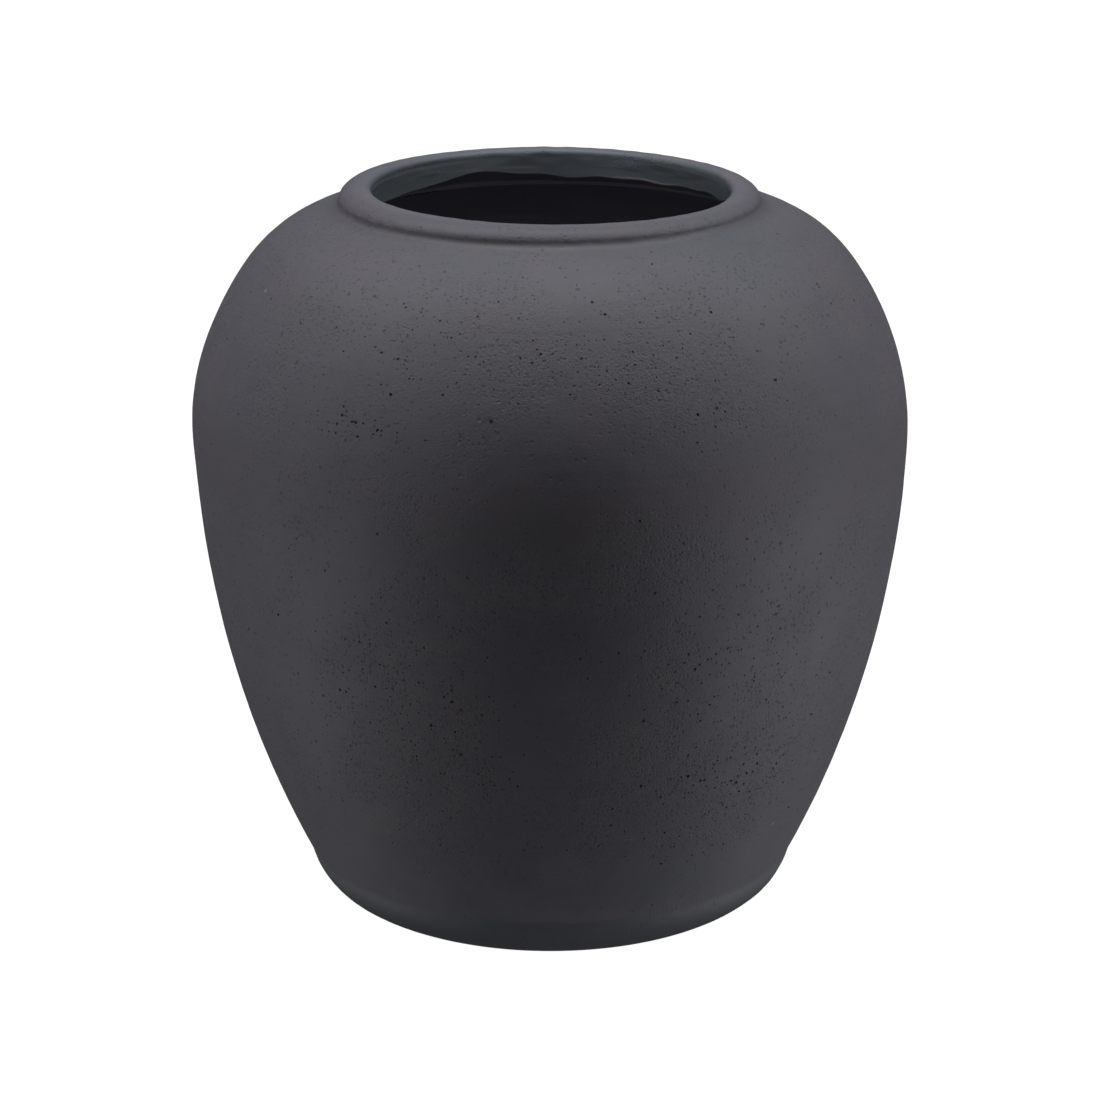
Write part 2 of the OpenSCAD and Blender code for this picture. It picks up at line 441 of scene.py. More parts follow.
class Turned:
    """A ring or disc revolved from runs, with displaced faces, pits and masks for its material."""

    def __init__(self, node, runs, segments=SEGMENTS, seed=1, closed=True, sink=None):
        self.node = node
        self.segments = segments
        self.closed = closed
        self.draw = np.random.RandomState(seed)
        self.theta = np.linspace(0, 2 * math.pi, segments, endpoint=False)
        rows, normals, pitted, inner = [], [], [], []
        for run in runs:
            rows.append(self.displaced(run, sink))
            normals.append(run.normals)
            pitted += [run.pitted] * (len(run.points) - 1) + [False]
            inner += [run.relief is inside] * len(run.points)
        self.rz = np.concatenate(rows)
        self.normals = np.concatenate(normals)
        self.pitted = np.array(pitted)
        self.extra_vertices = []
        self.extra_faces = []
        self.dropped = set()
        self.pit_shade_mask = {}
        # Where a painted glint, standing in for a highlight, lightens the clay
        self.rubbed = np.zeros(self.rz.shape[:2])
        self.inner = np.repeat(np.array(inner, float), segments).reshape(self.rz.shape[:2])

    def displaced(self, run, sink):
        """Radius and height of a run's points all round the pot, with its relief and sinking."""
        theta = self.theta[None, :]
        r, z = (run.points[:, axis][:, None] + 0 * theta for axis in (0, 1))
        out = run.relief(theta, z) if run.relief else 0
        level = sink(theta, z) if sink else 0
        across, up = run.normals[:, :1], run.normals[:, 1:]
        return np.stack([r + across * out, z + up * out + level], -1)

    def vertices(self):
        """Points of the grid in the row frame, in metres."""
        r, z = self.rz[..., 0], self.rz[..., 1]
        theta = self.theta[None, :]
        return (np.stack([r * np.sin(theta), -r * np.cos(theta), z], -1) * MM).reshape(-1, 3)

    def count(self):
        """How many points the grid has."""
        return self.rz.shape[0] * self.segments

    def cells(self):
        """Angle and height of each cell's middle, its length along the outline and its width."""
        middle = (self.rz[:-1] + self.rz[1:]) / 2
        length = np.linalg.norm(self.rz[1:, 0] - self.rz[:-1, 0], axis=-1)[:, None]
        width = middle[..., 0] * 2 * math.pi / self.segments
        theta = np.broadcast_to(self.theta + math.pi / self.segments, width.shape)
        return theta, middle[..., 1], length, width

    def lone_pits(self, theta, z, allowed):
        """Cell and width of each single pit that lies on this piece."""
        widths = {}
        for lone in LONE_PITS:
            away = np.abs(turn_between(theta, lone.deg)) * 2 + np.abs(z - lone.z)
            away[~allowed] = np.inf
            if away.min() < LONE_PIT_NEAR:
                widths[divmod(int(away.argmin()), self.segments)] = lone.width
        return widths

    def open_pits(self, share):
        """Opens a seeded pit in some cells; share is the part of the usual number."""
        theta, z, length, across = self.cells()
        density, size = pit_field(theta, z)
        allowed = (self.pitted & np.roll(self.pitted, 1) & np.roll(self.pitted, -1))[:-1]
        chance = density * (length * across / 100) * share
        chance[~allowed] = 0
        open_here = self.draw.uniform(size=chance.shape) < chance
        lone = self.lone_pits(theta, z, chance > 0)
        for cell in lone:
            open_here[cell] = True
        points = self.vertices()
        for i, j in zip(*np.nonzero(open_here)):
            normal_r, normal_z = self.normals[i]
            heading = theta[i, j]
            normal = np.array([normal_r * math.sin(heading), -normal_r * math.cos(heading), normal_z])
            width = size[i, j] * math.exp(self.draw.normal(*PIT_WIDTH_LOG))
            width = lone.get((i, j), width)
            self.pit(i, j, points, normal, width, min(length[i, 0], across[i, j]))

    def pit(self, i, j, points, normal, width, cell_width):
        """Puts a flat collar, a steep wall and a low middle in place of one cell."""
        here, beside = i * self.segments + j, i * self.segments + (j + 1) % self.segments
        ring = [here, beside, beside + self.segments, here + self.segments]
        corners = points[ring]
        centre = corners.mean(0)
        reach = min(PIT_LARGEST_REACH, width / cell_width)
        turn = Matrix.Rotation(self.draw.uniform(-PIT_TURN, PIT_TURN), 3, Vector(normal))
        spread = np.array([(turn @ Vector(c - centre)) for c in corners])
        spread = spread * reach * self.draw.uniform(*PIT_UNEVEN, (4, 1))
        depth = width * self.draw.uniform(*PIT_DEPTH) * MM
        base = self.count() + len(self.extra_vertices)
        self.extra_vertices += list(centre + spread) + list(centre + spread * PIT_FLOOR - normal * depth)
        # How far painted shade, with some dust, darkens the pit's collar and floor
        strong = min(1.0, 0.35 + 0.5 * width)
        for a in range(4):
            b = (a + 1) % 4
            self.extra_faces.append((ring[a], ring[b], base + b, base + a))
            self.extra_faces.append((base + a, base + b, base + 4 + b, base + 4 + a))
            self.pit_shade_mask[base + a] = 0.25 * strong
            self.pit_shade_mask[base + 4 + a] = strong
        self.extra_faces.append((base + 4, base + 5, base + 6, base + 7))
        self.dropped.add(here)

    def close_round(self):
        """Faces from the last row back to the first, where the outline is a closed ring."""
        last = self.count() - self.segments
        j = np.arange(self.segments)
        k = (j + 1) % self.segments
        return np.stack([last + j, last + k, k, j], -1)

    def close_middle(self, row, upwards):
        """Adds a fan of triangles from one row to the axis, on a disc's underside or top."""
        centre = self.count() + len(self.extra_vertices)
        self.extra_vertices.append(np.array([0, 0, self.rz[row, :, 1].mean() * MM]))
        first = row * self.segments
        for j in range(self.segments):
            a, b = first + j, first + (j + 1) % self.segments
            self.extra_faces.append((a, b, centre) if upwards else (b, a, centre))

    def build(self, material):
        """Makes the object, smooth except across sharp edges."""
        rows = self.rz.shape[0]
        faces = grid_faces(rows, self.segments)
        if self.closed:
            faces = np.concatenate([faces, self.close_round()])
        else:
            self.close_middle(0, False)
            self.close_middle(rows - 1, True)
        kept = [tuple(f) for n, f in enumerate(faces.tolist()) if n not in self.dropped]
        points = self.vertices().tolist() + [list(v) for v in self.extra_vertices]
        name = self.node + "_clay"
        mesh = bpy.data.meshes.new(name)
        mesh.from_pydata(points, [], kept + self.extra_faces)
        mesh.update()
        if volume(mesh) < 0:
            mesh.flip_normals()
        self.write_masks(mesh)
        mesh.shade_smooth()
        mesh.set_sharp_from_angle(angle=math.radians(SHARP_DEG))
        mesh.materials.append(material)
        piece = bpy.data.objects.new(name, mesh)
        bpy.context.scene.collection.objects.link(piece)
        return piece

    def write_masks(self, mesh):
        """Writes the painted shade in pits, the painted glint and where the clay is inside as values of the
        mesh's points.
        """
        pits = np.zeros(len(mesh.vertices))
        pits[list(self.pit_shade_mask)] = list(self.pit_shade_mask.values())
        for name, values in (("pit", pits), ("rubbed", self.rubbed.ravel()), ("inner", self.inner.ravel())):
            padded = np.zeros(len(mesh.vertices), np.float32)
            padded[:len(values)] = values
            mesh.attributes.new(name, "FLOAT", "POINT").data.foreach_set("value", padded)


def volume(mesh):
    """Signed volume: negative when the faces look inwards."""
    co = np.zeros(len(mesh.vertices) * 3)
    mesh.vertices.foreach_get("co", co)
    co = co.reshape(-1, 3)
    mesh.calc_loop_triangles()
    tri = np.zeros(len(mesh.loop_triangles) * 3, int)
    mesh.loop_triangles.foreach_get("vertices", tri)
    a, b, c = (co[tri.reshape(-1, 3)[:, n]] for n in range(3))
    return float(np.einsum("ij,ij->i", a, np.cross(b, c)).sum() / 6)


# ---------------------------------------------------------------------------
# Materials: smoke-fired clay
# ---------------------------------------------------------------------------


class Shader:
    """Builds one material's nodes. A value may be a number, a colour or another node's output."""

    def __init__(self, name):
        self.material = bpy.data.materials.new(name)
        self.material.use_nodes = True
        self.nodes = self.material.node_tree.nodes
        self.links = self.material.node_tree.links
        self.principled = self.nodes["Principled BSDF"]
        self.place = self.add("ShaderNodeTexCoord").outputs["Object"]

    def feed(self, socket, value):
        if isinstance(value, bpy.types.NodeSocket):
            self.links.new(value, socket)
        else:
            socket.default_value = value

    def add(self, kind, **settings):
        node = self.nodes.new(kind)
        for key, value in settings.items():
            setattr(node, key, value)
        return node

    def math(self, operation, a, b=0.0, clamp=False):
        node = self.add("ShaderNodeMath", operation=operation, use_clamp=clamp)
        self.feed(node.inputs[0], a)
        self.feed(node.inputs[1], b)
        return node.outputs[0]

    def total(self, *values):
        result = values[0]
        for value in values[1:]:
            result = self.math("ADD", result, value)
        return result

    def ramp(self, value, low, high, start=0.0, end=1.0):
        """start below low and end above high, with a smooth step between."""
        node = self.add("ShaderNodeMapRange", interpolation_type="SMOOTHSTEP")
        self.feed(node.inputs["Value"], value)
        self.feed(node.inputs["From Min"], low)
        self.feed(node.inputs["From Max"], high)
        self.feed(node.inputs["To Min"], start)
        self.feed(node.inputs["To Max"], end)
        return node.outputs["Result"]

    def stretched(self, x, y, z):
        """The place in the row frame, stretched along each axis."""
        node = self.add("ShaderNodeVectorMath", operation="MULTIPLY")
        self.feed(node.inputs[0], self.place)
        self.feed(node.inputs[1], (x, y, z))
        return node.outputs[0]

    def shifted(self, vector, offset):
        """A place moved by a number of metres, so that two textures don't run alike."""
        node = self.add("ShaderNodeVectorMath", operation="ADD")
        self.feed(node.inputs[0], vector)
        self.feed(node.inputs[1], (offset, 1.7 * offset, 0.6 * offset))
        return node.outputs[0]

    def noise(self, per_metre, detail=2.0, roughness=0.5, vector=None, offset=0.0):
        node = self.add("ShaderNodeTexNoise")
        self.feed(node.inputs["Vector"], self.shifted(vector or self.place, offset))
        node.inputs["Scale"].default_value = per_metre
        node.inputs["Detail"].default_value = detail
        node.inputs["Roughness"].default_value = roughness
        return node.outputs["Fac"]

    def pores(self, per_metre, radius, share, patch, offset):
        """1 in small round pores: a share of the cells of a grid, where a patch is strong."""
        node = self.add("ShaderNodeTexVoronoi")
        self.feed(node.inputs["Vector"], self.shifted(self.place, offset))
        node.inputs["Scale"].default_value = per_metre
        dice = self.add("ShaderNodeSeparateColor")
        self.links.new(node.outputs["Color"], dice.inputs[0])
        low = self.math("MULTIPLY", patch, share)
        chosen = self.math("LESS_THAN", dice.outputs[0], low)
        wide = self.math("MULTIPLY_ADD", dice.outputs[1], 0.7 * radius)
        wide.node.inputs[2].default_value = 0.5 * radius
        near = self.math("DIVIDE", node.outputs["Distance"], wide)
        return self.math("MULTIPLY", self.ramp(near, 0.5, 1.0, 1.0, 0.0), chosen)

    def mix(self, factor, a, b):
        node = self.add("ShaderNodeMix", data_type="RGBA")
        self.feed(node.inputs[0], factor)
        self.feed(node.inputs[6], a if isinstance(a, bpy.types.NodeSocket) else (*a, 1.0))
        self.feed(node.inputs[7], b if isinstance(b, bpy.types.NodeSocket) else (*b, 1.0))
        return node.outputs[2]

    def scaled(self, colour, value):
        """A colour made lighter or darker by a value."""
        node = self.add("ShaderNodeVectorMath", operation="SCALE")
        self.feed(node.inputs[0], colour)
        self.feed(node.inputs["Scale"], value)
        return node.outputs[0]

    def polar_place(self):
        """Outputs for the angle in degrees from the front, the radius and the height, in metres."""
        parts = self.add("ShaderNodeSeparateXYZ")
        self.links.new(self.place, parts.inputs[0])
        x, y, z = parts.outputs
        angle = self.math("ARCTAN2", x, self.math("MULTIPLY", y, -1.0))
        degrees = self.math("MULTIPLY", angle, 180 / math.pi)
        squares = self.math("ADD", self.math("MULTIPLY", x, x), self.math("MULTIPLY", y, y))
        return degrees, self.math("SQRT", squares), z

    def attribute(self, name):
        """A mask that the mesh carries."""
        return self.add("ShaderNodeAttribute", attribute_name=name).outputs["Fac"]

    def band(self, z, low, low_full, high_full, high):
        """1 between two heights and 0 past the outer two, in millimetres."""
        rising = self.ramp(z, low * MM, low_full * MM)
        return self.math("MULTIPLY", rising, self.ramp(z, high_full * MM, high * MM, 1.0, 0.0))

    def marked(self, degrees, z, marks):
        """Soft oval patches on the pot: 1 at the middle of each mark and 0 past its edge."""
        spots = []
        for mark in marks:
            across = self.math("DIVIDE", self.math("SUBTRACT", degrees, mark.deg), mark.half_deg)
            up = self.math("DIVIDE", self.math("SUBTRACT", z, mark.z * MM), mark.half_z * MM)
            away = self.math("ADD", self.math("MULTIPLY", across, across), self.math("MULTIPLY", up, up))
            spots.append(self.ramp(away, 0.0, 1.0, 1.0, 0.0))
        return self.total(*spots)

    def finish(self, colour, roughness, height, distance=MM, specular=0.5):
        """Feeds the shader. Height is relief, in units of the bump's distance."""
        p = self.principled.inputs
        self.feed(p["Base Color"], colour)
        self.feed(p["Roughness"], roughness)
        p["Specular IOR Level"].default_value = specular
        bump = self.add("ShaderNodeBump")
        bump.inputs["Strength"].default_value = 1.0
        bump.inputs["Distance"].default_value = distance
        self.feed(bump.inputs["Height"], height)
        self.links.new(bump.outputs["Normal"], p["Normal"])
        return self.material


CHARCOAL = (0.0795, 0.0760, 0.0925)
BROWN_BLACK = (0.083, 0.070, 0.082)
BLUE_BLACK = (0.073, 0.074, 0.091)
GREEN_BLACK = (0.064, 0.080, 0.090)
NECK_BLACK = (0.091, 0.108, 0.124)
SOOT = (0.033, 0.030, 0.047)
DUST = (0.19, 0.185, 0.185)
# Bare clay: at the foot's chips, and the colour of the throat's painted glint
BARE_CLAY_AND_GLINT = (0.30, 0.26, 0.22)

# How many features of each texture there are to a metre
CLOUDS = 9
ROUGH_PATCHES = 24
MOTTLES = 48
FINE_PORES = 560
PORES = 300
GRAINS = 1050
# Relief of the textures, in millimetres
GRAIN_H = 0.22
WIPE_H = 0.035
FINE_PORE_H = -0.07
PORE_H = -0.12
LIP_GRAIN_H = 0.16

# Heights in millimetres: the browner band at the belly joint, the foot's painted shade towards the floor
# and its dusty edge
BELLY_BAND_Z = (184, 196, 210, 222)
FOOT_PAINTED_SHADE_Z = (3, 23)
FOOT_DUST_Z = (0.4, 3.0)
# Angles from the front at which the throat's painted shade ends and its paler back, painted light, begins
THROAT_PAINTED_LIGHT_DEG = (135, 165)

# A mark: angle, height, half-width in degrees and half-height in millimetres
Mark = namedtuple("Mark", "deg z half_deg half_z")
SCUFFS = (Mark(13.5, 63, 5.0, 1.6), Mark(9, 82, 6.0, 2.5))
LIGHT_SPECKS = (Mark(-64, 267, 0.6, 0.9), Mark(50.5, 52, 0.6, 0.9))
FOOT_CHIPS = (Mark(5.5, 1.2, 5.5, 3.2), Mark(97, 0.8, 4.0, 2.0), Mark(-148, 1.0, 5.0, 2.4))
LIP_STAIN = (Mark(65, 294, 0.9, 1.1),)

# What a clay starts from: its shader, its places on the pot, and its colour, roughness and relief
Clay = namedtuple("Clay", "s degrees radius z colour roughness height")


def clay_surface(name):
    """The worked outside, before a piece's own marks."""
    s = Shader(name)
    degrees, radius, z = s.polar_place()
    cloud = s.noise(CLOUDS, 2, 0.55, offset=1.0)
    mottle = s.noise(MOTTLES, 3, 0.6, offset=2.0)
    wipes = s.noise(1, 3, 0.62, s.stretched(14, 14, 420), offset=3.0)
    grain = s.noise(GRAINS, 3, 0.75, offset=4.0)
    patch = s.ramp(s.noise(ROUGH_PATCHES, 2, 0.6, offset=6.0), 0.36, 0.66, 0.10, 1.0)
    patch = s.math("MULTIPLY", patch, s.ramp(z, 38 * MM, 56 * MM, 0.12, 1.0))
    fine = s.pores(FINE_PORES, 0.42, 0.85, patch, 7.0)
    medium = s.pores(PORES, 0.26, 0.30, patch, 8.0)
    sandy = s.math("MULTIPLY", s.math("SUBTRACT", grain, 0.5), s.total(0.40, patch))
    pores = s.math("MAXIMUM", s.math("MULTIPLY", fine, 0.42), s.math("MULTIPLY", medium, 0.60))
    holes = s.math("MAXIMUM", pores, s.math("MULTIPLY", s.attribute("pit"), 0.30))

    colour = s.mix(s.ramp(cloud, 0.35, 0.65), CHARCOAL, BLUE_BLACK)
    colour = s.mix(s.math("MULTIPLY", s.ramp(mottle, 0.50, 0.72), 0.5), colour, BROWN_BLACK)
    tone = s.total(0.815, s.math("MULTIPLY", mottle, 0.28), s.math("MULTIPLY", wipes, 0.15),
                   s.math("MULTIPLY", sandy, 0.72))
    # Painted shade, with some dust: pores and pits are darker than the clay round them
    dark = s.math("SUBTRACT", 1.0, s.math("MULTIPLY", holes, 0.40))
    colour = s.scaled(colour, s.math("MULTIPLY", tone, dark))
    roughness = s.total(0.58, s.math("MULTIPLY", mottle, 0.06), s.math("MULTIPLY", grain, 0.06),
                        s.math("MULTIPLY", holes, 0.25))
    height = s.total(s.math("MULTIPLY", sandy, GRAIN_H), s.math("MULTIPLY", wipes, WIPE_H),
                     s.math("MULTIPLY", fine, FINE_PORE_H), s.math("MULTIPLY", medium, PORE_H))
    return Clay(s, degrees, radius, z, colour, roughness, height)


def body_clay():
    """The wall and shoulder: matte charcoal, finely pored, a little browner along the belly joint, and
    paler low down with painted light from the floor.
    """
    clay = clay_surface("smoked_clay_body")
    s = clay.s
    # Painted light: the wall is paler towards the foot, in place of light from the floor
    colour = s.scaled(clay.colour, s.ramp(clay.z, 18 * MM, 70 * MM, 1.13, 1.0))
    colour = s.mix(s.math("MULTIPLY", s.band(clay.z, *BELLY_BAND_Z), 0.35), colour, BROWN_BLACK)
    streaks = s.ramp(s.noise(1, 2, 0.5, s.stretched(60, 60, 1300), offset=22.0), 0.52, 0.66)
    scuffed = s.math("MULTIPLY", s.marked(clay.degrees, clay.z, SCUFFS), streaks)
    colour = s.mix(s.math("MULTIPLY", scuffed, 0.32), colour, DUST)
    specks = s.marked(clay.degrees, clay.z, LIGHT_SPECKS)
    colour = s.mix(s.math("MULTIPLY", specks, 0.8), colour, DUST)
    colour = s.mix(s.attribute("inner"), colour, SOOT)
    return s.finish(colour, clay.roughness, clay.height)


def foot_clay():
    """The foot band: wiped smoother and a little cooler, with painted shade near the floor and painted
    light above it, chipped and dusty where it stands.
    """
    clay = clay_surface("smoked_clay_foot")
    s = clay.s
    # Painted shade: the foot darkens towards the floor, and painted light makes it paler higher up
    painted_shade_z, painted_light_z = FOOT_PAINTED_SHADE_Z
    shade = s.ramp(clay.z, painted_shade_z * MM, painted_light_z * MM, 0.60, 1.13)
    colour = s.scaled(s.mix(0.40, clay.colour, GREEN_BLACK), shade)
    low, high = FOOT_DUST_Z
    edge = s.ramp(clay.z, low * MM, high * MM, 1.0, 0.0)
    dusty = s.math("MULTIPLY", edge, s.ramp(s.noise(90, 3, 0.6, offset=24.0), 0.5, 0.7))
    colour = s.mix(s.math("MULTIPLY", dusty, 0.3), colour, DUST)
    flakes = s.ramp(s.noise(420, 3, 0.7, offset=23.0), 0.56, 0.62)
    bare = s.math("MULTIPLY", s.marked(clay.degrees, clay.z, FOOT_CHIPS), flakes, clamp=True)
    colour = s.mix(bare, colour, BARE_CLAY_AND_GLINT)
    return s.finish(colour, clay.roughness, clay.height)


def painted_light_round(clay, darkest):
    """Painted light round the throat: darkest in front and at the sides, and 1 behind, where it faces the
    front lights.
    """
    s = clay.s
    return s.ramp(s.math("ABSOLUTE", clay.degrees), *THROAT_PAINTED_LIGHT_DEG, darkest, 1.0)


def lip_clay():
    """The lip: worn smooth and slightly paler on top, a painted highlight; grainier below, dark inside."""
    clay = clay_surface("smoked_clay_lip")
    s = clay.s
    below = s.ramp(clay.z, 292.5 * MM, 296.5 * MM, 1.0, 0.0)
    coarse = s.math("MULTIPLY", s.noise(760, 2, 0.7, offset=25.0), below)
    height = s.total(clay.height, s.math("MULTIPLY", coarse, LIP_GRAIN_H))
    # Painted highlight: the lip's top is paler towards its inner edge
    colour = s.scaled(clay.colour, s.ramp(clay.radius, 76.5 * MM, 81.5 * MM, 1.22, 1.04))
    stain = s.marked(clay.degrees, clay.z, LIP_STAIN)
    colour = s.mix(s.math("MULTIPLY", stain, 0.7), colour, SOOT)
    # The lip's inner edge takes the throat's colour, with its painted light
    inside_edge = s.ramp(clay.radius, (MOUTH_R + 0.3) * MM, (MOUTH_R + 2.2) * MM, 1.0, 0.0)
    colour = s.mix(inside_edge, colour, s.scaled(NECK_BLACK, painted_light_round(clay, 0.80)))
    return s.finish(colour, clay.roughness, height)


def neck_clay():
    """The throat: burnished black above its trimmed edge, paler behind with painted light, and with a
    painted glint along that edge at the back.
    """
    clay = clay_surface("burnished_clay_neck")
    s = clay.s
    smear = s.noise(1, 2, 0.6, s.stretched(30, 30, 300), offset=31.0)
    satin = s.scaled(NECK_BLACK, s.total(0.72, s.math("MULTIPLY", smear, 0.56)))
    # Painted light: the throat is paler behind and darker in front and at the sides
    satin = s.scaled(satin, painted_light_round(clay, 0.64))
    # Painted glint: a pale line along the throat's trimmed edge at the back, in place of a highlight
    rubbed = s.attribute("rubbed")
    satin = s.mix(s.math("MULTIPLY", rubbed, 0.8), satin, BARE_CLAY_AND_GLINT)
    under = s.math("MULTIPLY", s.attribute("inner"), s.math("SUBTRACT", 1.0, rubbed))
    satin = s.mix(under, satin, SOOT)
    outer = s.ramp(clay.radius, 79 * MM, 81 * MM)
    roughness = s.total(0.48, s.math("MULTIPLY", outer, 0.14))
    return s.finish(s.mix(outer, satin, clay.colour), roughness, clay.height, distance=0.5 * MM)


def raw_clay():
    """The inside: unworked clay, black with soot."""
    clay = clay_surface("sooted_clay_inside")
    s = clay.s
    soot = s.scaled(SOOT, s.total(0.6, s.math("MULTIPLY", s.noise(40, 2, 0.6, offset=41.0), 0.8)))
    return s.finish(soot, 0.75, clay.height, distance=1.5 * MM, specular=0.3)


# ---------------------------------------------------------------------------
# The formed pieces
# ---------------------------------------------------------------------------


def keep(turned, material, pits=0.0):
    """Opens a piece's share of pits, makes it and sets it in place of its CAD node."""
    if pits > 0:
        turned.open_pits(pits)
    piece = turned.build(material)
    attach(piece, "root")
    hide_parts(turned.node)


SEAM_DEG = (angle_of(FOOT_C, CREASE_FILLET_C) + angle_of(WALL_C, CREASE_FILLET_C)) / 2
INNER_WALL_R = WALL_ARC_R - WALL_T
INNER_SHOULDER_R = SHOULDER_ARC_R - WALL_T
CREASE_INNER = bevel_end(CREASE, WALL_C, INNER_WALL_R)
BELLY_INNER_LOW = bevel_end(WALL_TOP, WALL_C, INNER_WALL_R)
BELLY_INNER_HIGH = bevel_end(WALL_TOP, SHOULDER_C, INNER_SHOULDER_R)
FLOOR_CORNER = np.array([WALL_C[0] + math.sqrt(INNER_WALL_R ** 2 - (FLOOR_T - WALL_C[1]) ** 2), FLOOR_T])
SLAB_LOW_R = RECESS_R + (SLAB_R - RECESS_R) * RECESS_H / FLOOR_T
GROOVE_IN = polar(CROWN_C, CROWN_ARC_R - WALL_T, GROOVE_DEG)
CROWN_END_DEG = angle_of(GROOVE_FILLET_C, CROWN_C)


def base_slab():
    """Floor disc: string-cut below, smoothed in rings above."""
    runs = [
        line([SLAB_MIDDLE_R, RECESS_H], [SLAB_LOW_R, RECESS_H], SLAB_STEP, STRING),
        line([SLAB_R, FLOOR_T], [SLAB_MIDDLE_R, FLOOR_T], SLAB_STEP, STRING),
    ]
    return Turned("base_slab", runs, SLAB_SEGMENTS, 61, closed=False)


def foot_band():
    """Foot ring: flat where it stands, rounded, and wiped into the wall at the crease."""

    def worn(theta, z):
        return -np.abs(STRING(theta, z + 3)) * 0.6

    def foot_face(theta, z):
        return outside(theta, z) * fade(z, 0.5, 9.0)

    runs = [
        line([RECESS_R, 0], [FOOT_FLAT_R - STANDING_EDGE_W, 0], STANDING_EDGE_W, worn, pitted=True),
        arc(FOOT_C, FOOT_ARC_R, -90, angle_of(CREASE_FILLET_C, FOOT_C), FOOT_STEP, foot_face, pitted=True),
        arc(CREASE_FILLET_C, CREASE_FILLET_R, angle_of(FOOT_C, CREASE_FILLET_C), SEAM_DEG,
            FILLET_STEP, foot_face, facing=-1),
        arc(WALL_C, INNER_WALL_R, angle_of(CREASE_INNER, WALL_C), angle_of(FLOOR_CORNER, WALL_C),
            INSIDE_STEP, facing=-1),
        line(FLOOR_CORNER, [SLAB_R, FLOOR_T], INSIDE_STEP),
    ]
    return Turned("foot_band", runs, seed=62)


def floor_coil():
    """Coil thumbed into the corner of the floor."""
    top = circles_meet(FLOOR_CORNER, FLOOR_COIL_R, WALL_C, INNER_WALL_R, 1)
    if top[1] < FLOOR_T:
        top = circles_meet(FLOOR_CORNER, FLOOR_COIL_R, WALL_C, INNER_WALL_R, -1)
    runs = [
        arc(FLOOR_CORNER, FLOOR_COIL_R, 180, angle_of(top, FLOOR_CORNER), COIL_STEP, pressed(34, 1.8, 71)),
        line(top, FLOOR_CORNER, INSIDE_STEP),
    ]
    return Turned("floor_coil", runs, COIL_SEGMENTS, 63)


def lower_wall():
    """Wall from the crease to the belly joint."""
    runs = [
        arc(CREASE_FILLET_C, CREASE_FILLET_R, SEAM_DEG, angle_of(WALL_C, CREASE_FILLET_C),
            FILLET_STEP, outside, facing=-1),
        arc(WALL_C, WALL_ARC_R, angle_of(CREASE_FILLET_C, WALL_C), angle_of(WALL_TOP, WALL_C),
            WALL_STEP, outside, pitted=True),
        arc(WALL_C, INNER_WALL_R, angle_of(BELLY_INNER_LOW, WALL_C), angle_of(CREASE_INNER, WALL_C),
            INSIDE_STEP, inside, facing=-1),
    ]
    return Turned("lower_wall", runs, seed=64)


def belly_coil():
    """Coil squeezed over the inside of the belly joint."""
    face_r = BELLY_R - WALL_T - BELLY_COIL_BULGE
    middle_z = WALL_TOP[1] + WALL_T * math.tan(math.radians(BEVEL_DEG))
    centre = np.array([face_r + BELLY_COIL_R, middle_z])
    ends = [circles_meet(centre, BELLY_COIL_R, SHOULDER_C, INNER_SHOULDER_R, side) for side in (1, -1)]
    low, high = sorted(ends, key=lambda p: p[1])
    low_deg = angle_of(low, centre) % 360
    high_deg = angle_of(high, centre) % 360
    runs = [
        arc(centre, BELLY_COIL_R, low_deg, high_deg, COIL_STEP, pressed(44, 1.3, 72)),
        arc(SHOULDER_C, INNER_SHOULDER_R, angle_of(high, SHOULDER_C), angle_of(low, SHOULDER_C),
            INSIDE_STEP),
    ]
    return Turned("belly_coil", runs, COIL_SEGMENTS, 65)


def shoulder_wall():
    """Shoulder and crown, from the belly joint in to the collar."""
    runs = [
        arc(SHOULDER_C, SHOULDER_ARC_R, -HANDOVER_DEG, CROWN_ARC_DEG, WALL_STEP, outside, pitted=True),
        arc(CROWN_C, CROWN_ARC_R, CROWN_ARC_DEG, CROWN_END_DEG, CROWN_STEP, outside, pitted=True),
        arc(CROWN_C, CROWN_ARC_R - WALL_T, GROOVE_DEG, CROWN_ARC_DEG, CROWN_INSIDE_STEP, inside, facing=-1),
        arc(SHOULDER_C, INNER_SHOULDER_R, CROWN_ARC_DEG, angle_of(BELLY_INNER_HIGH, SHOULDER_C),
            INSIDE_STEP, inside, facing=-1),
    ]
    return Turned("shoulder_wall", runs, seed=66)


def throat_edge(theta):
    """How far the throat's trimmed lower edge hangs below its level, in millimetres."""
    behind_left = bell(turn_between(theta, -157), 0, 13)
    left = bell(turn_between(theta, -116), 0, 20)
    return 1.0 - 2.9 * behind_left + 1.9 * left + TRIM(theta, 0 * theta)


def trimmed(theta, z):
    """Carries the throat's uneven edge into the faces above and below it."""
    return throat_edge(theta) * np.minimum(fade(z, 283.5, 289.0), fade(-z, -292.4, -289.6))


